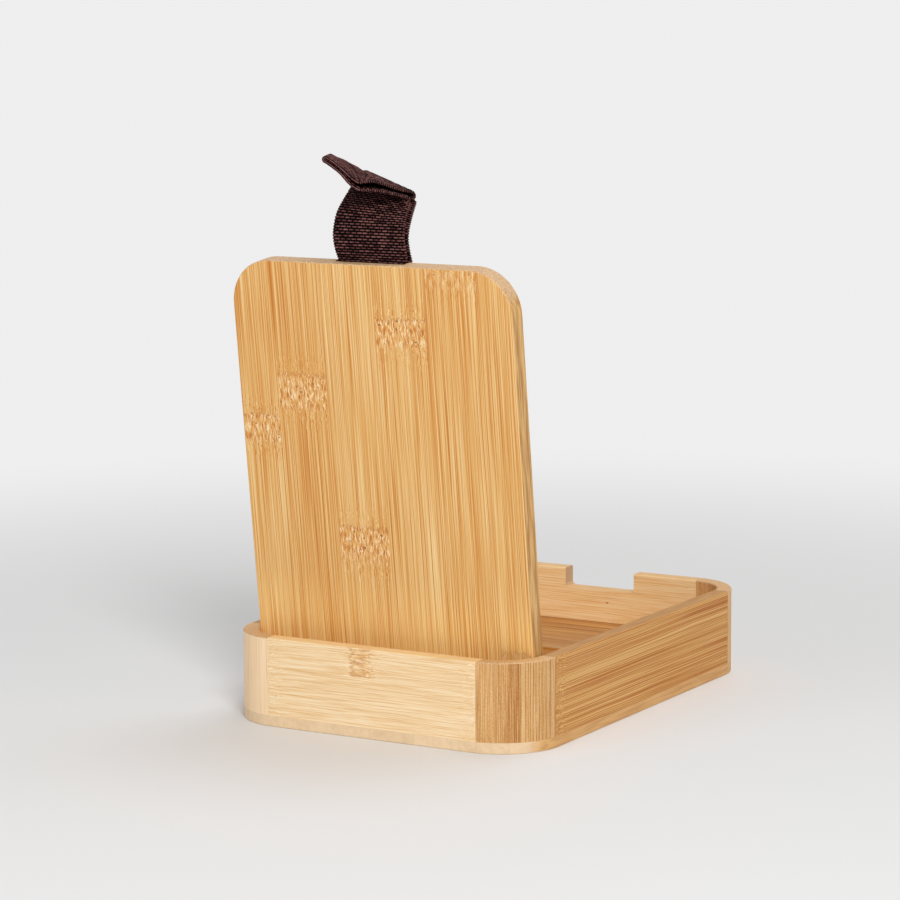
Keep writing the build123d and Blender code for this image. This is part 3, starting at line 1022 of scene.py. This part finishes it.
def webbing_yarn():
    """Dark brown yarn that shows as dashes between grooves, which painted shade makes black."""
    finish = Finish("webbing yarn")
    over, along = (finish.times(finish.attribute(name), 1 / MM) for name in ("over", "along"))
    rib_count = finish.math("DIVIDE", along, RIB_PITCH / MM)
    dash_count = finish.math("DIVIDE", over, DASH_LENGTH / MM)
    rib, dash_count, dash = finish.bricks(rib_count, dash_count)
    end_rib = finish.step(finish.away(along, LOOP_END / MM), *END_RIB_EDGE)
    dash = finish.math("MAXIMUM", finish.step(dash, *DASH_EDGE), end_rib)
    crest = finish.times(rib, finish.plus(1 - GAP_SHADE, dash, GAP_SHADE))
    place = finish.join(finish.math("FLOOR", dash_count), finish.math("FLOOR", rib_count), 0.0)
    chance = finish.chance({"Vector": place}, "2D")
    places = finish.join(over, along, 0.0)
    yarn = finish.noise(places, YARN_GRAIN)
    worn = finish.noise(places, WORN_GRAIN)
    tone = finish.plus(crest, finish.centred(yarn), YARN_WEIGHT)
    tone = finish.plus(tone, finish.centred(worn), WORN_WEIGHT)
    tone = finish.plus(tone, finish.centred(chance), CHANCE_WEIGHT)
    # Painted shade: faces inside the loop are painted darker
    tone = finish.plus(tone, finish.attribute("inside"), INSIDE_PAINTED_SHADE)
    # Painted shade: the tone runs to black in the grooves between ribs and in the gaps between dashes,
    # and the crests' light tone is partly painted highlight
    thread = finish.ramp(tone, YARN_PLACES, YARN_TONES_WITH_PAINTED_SHADE)
    selvage = finish.step(finish.math("ABSOLUTE", over), *SELVAGE_EDGE)
    selvage = finish.times(selvage, finish.step(rib, *SELVAGE_CREST))
    thread = finish.mix(finish.times(selvage, SELVAGE_SHARE), thread, SELVAGE_TONE)
    roughness = finish.plus(0.55, yarn, 0.2)
    finish.coat({"Base Color": thread, "Roughness": roughness, "Specular IOR Level": 0.03})
    relief = finish.plus(finish.times(crest, 0.5), yarn, 0.5)
    finish.bump(relief, distance=0.12 * MM, strength=0.7)
    return finish.material


band = webbing_body()
weave_steps = band.modifiers.new("weave", "NODES")
weave_steps.node_group = webbing_weave(webbing_yarn())
pull_loop = plain_mesh(band, "webbing_loop")
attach(pull_loop, "lid")
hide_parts("pull_strap")


# Pale floor that fades into the backdrop's tone between two distances from the box's middle
BACKDROP = (0.86, 0.86, 0.86, 1)
FLOOR_GREY = (0.80, 0.80, 0.80, 1)
FLOOR_FADE = (180.0, 600.0)
FLOOR_REACH = 40.0


def pale_floor():
    finish = Finish("pale floor")
    over, depth, _ = finish.places()
    finish.coat({"Base Color": FLOOR_GREY, "Roughness": 0.7})
    backdrop = finish.add("ShaderNodeEmission", {"Color": BACKDROP, "Strength": 1.0})
    share = finish.step(finish.length(over, depth), *FLOOR_FADE)
    inputs = {0: share, 1: finish.surface.outputs[0], 2: backdrop.outputs[0]}
    faded = finish.add("ShaderNodeMixShader", inputs).outputs[0]
    finish.put(finish.tree.nodes["Material Output"].inputs["Surface"], faded)
    return finish.material


def floor():
    mesh = bpy.data.meshes.new("floor")
    signs = [(-1, -1), (1, -1), (1, 1), (-1, 1)]
    mesh.from_pydata([(x * FLOOR_REACH, y * FLOOR_REACH, 0) for x, y in signs], [], [(0, 1, 2, 3)])
    mesh.materials.append(pale_floor())
    plane = bpy.data.objects.new("floor", mesh)
    bpy.context.scene.collection.objects.link(plane)


floor()


# Studio: an even pale room that lights the box softly, and three lamps that look at its middle.
# For each lamp its place and width in metres, and its power in watts
AMBIENT = 0.35
LAMP_TARGET = (0, 0, 0.05)
LAMPS = (
    ("key", (-0.86, 1.07, 0.95), 0.5, 14.5),
    ("fill", (0.5, 1.3, 0.6), 0.9, 3),
    ("top", (-0.2, -0.4, 1.5), 0.9, 7),
)


def studio():
    """A room that is seen at full strength and lights the box with its ambient strength."""
    world = bpy.data.worlds.new("studio")
    bpy.context.scene.world = world
    world.use_nodes = True
    tree = world.node_tree
    background = tree.nodes["Background"]
    background.inputs["Color"].default_value = BACKDROP
    path = tree.nodes.new("ShaderNodeLightPath")
    seen = path.outputs["Is Camera Ray"]
    for ray in ("Is Glossy Ray", "Is Transmission Ray"):
        either = tree.nodes.new("ShaderNodeMath")
        either.operation = "MAXIMUM"
        tree.links.new(seen, either.inputs[0])
        tree.links.new(path.outputs[ray], either.inputs[1])
        seen = either.outputs[0]
    strength = tree.nodes.new("ShaderNodeMapRange")
    strength.inputs["To Min"].default_value = AMBIENT
    strength.inputs["To Max"].default_value = 1.0
    tree.links.new(seen, strength.inputs["Value"])
    tree.links.new(strength.outputs["Result"], background.inputs["Strength"])


def area_light(name, place, size, power):
    lamp = bpy.data.lights.new(name, "AREA")
    lamp.shape = "DISK"
    lamp.size = size
    lamp.energy = power
    holder = bpy.data.objects.new(name, lamp)
    holder.location = place
    away = Vector(place) - Vector(LAMP_TARGET)
    holder.rotation_euler = away.to_track_quat("Z", "Y").to_euler()
    bpy.context.scene.collection.objects.link(holder)


studio()
for lamp_settings in LAMPS:
    area_light(*lamp_settings)

# Camera at the photograph's place: yaw from +Y towards +X, pitch up, roll, and the lens axis's
# place in a picture of 900 pixels, counted from its upper left corner
CAMERA_PLACE = Vector((-579.13, 1023.92, 262.31)) * MM
CAMERA_YAW = math.radians(149.853)
CAMERA_PITCH = math.radians(-8.590)
CAMERA_ROLL = math.radians(-0.282)
PICTURE_SIZE = 900
FOCAL_PIXELS = 3394.4
AXIS_PIXELS = (455.6, 455.0)
SENSOR_WIDTH = 36.0


def camera():
    view = bpy.data.cameras.new("camera")
    view.sensor_width = SENSOR_WIDTH
    view.lens = FOCAL_PIXELS / PICTURE_SIZE * SENSOR_WIDTH
    view.shift_x = 0.5 - AXIS_PIXELS[0] / PICTURE_SIZE
    view.shift_y = AXIS_PIXELS[1] / PICTURE_SIZE - 0.5
    view.clip_start = 0.05
    view.clip_end = 200
    look = Vector(
        (
            math.sin(CAMERA_YAW) * math.cos(CAMERA_PITCH),
            math.cos(CAMERA_YAW) * math.cos(CAMERA_PITCH),
            math.sin(CAMERA_PITCH),
        )
    )
    level_right = look.cross(ALONG_Z).normalized()
    upright = level_right.cross(look)
    right = level_right * math.cos(CAMERA_ROLL) + upright * math.sin(CAMERA_ROLL)
    up = upright * math.cos(CAMERA_ROLL) - level_right * math.sin(CAMERA_ROLL)
    holder = bpy.data.objects.new("camera", view)
    turn = Matrix((right, up, -look)).transposed().to_4x4()
    holder.matrix_world = Matrix.Translation(CAMERA_PLACE) @ turn
    bpy.context.scene.collection.objects.link(holder)
    bpy.context.scene.camera = holder


camera()
bpy.context.scene.view_settings.view_transform = "Standard"
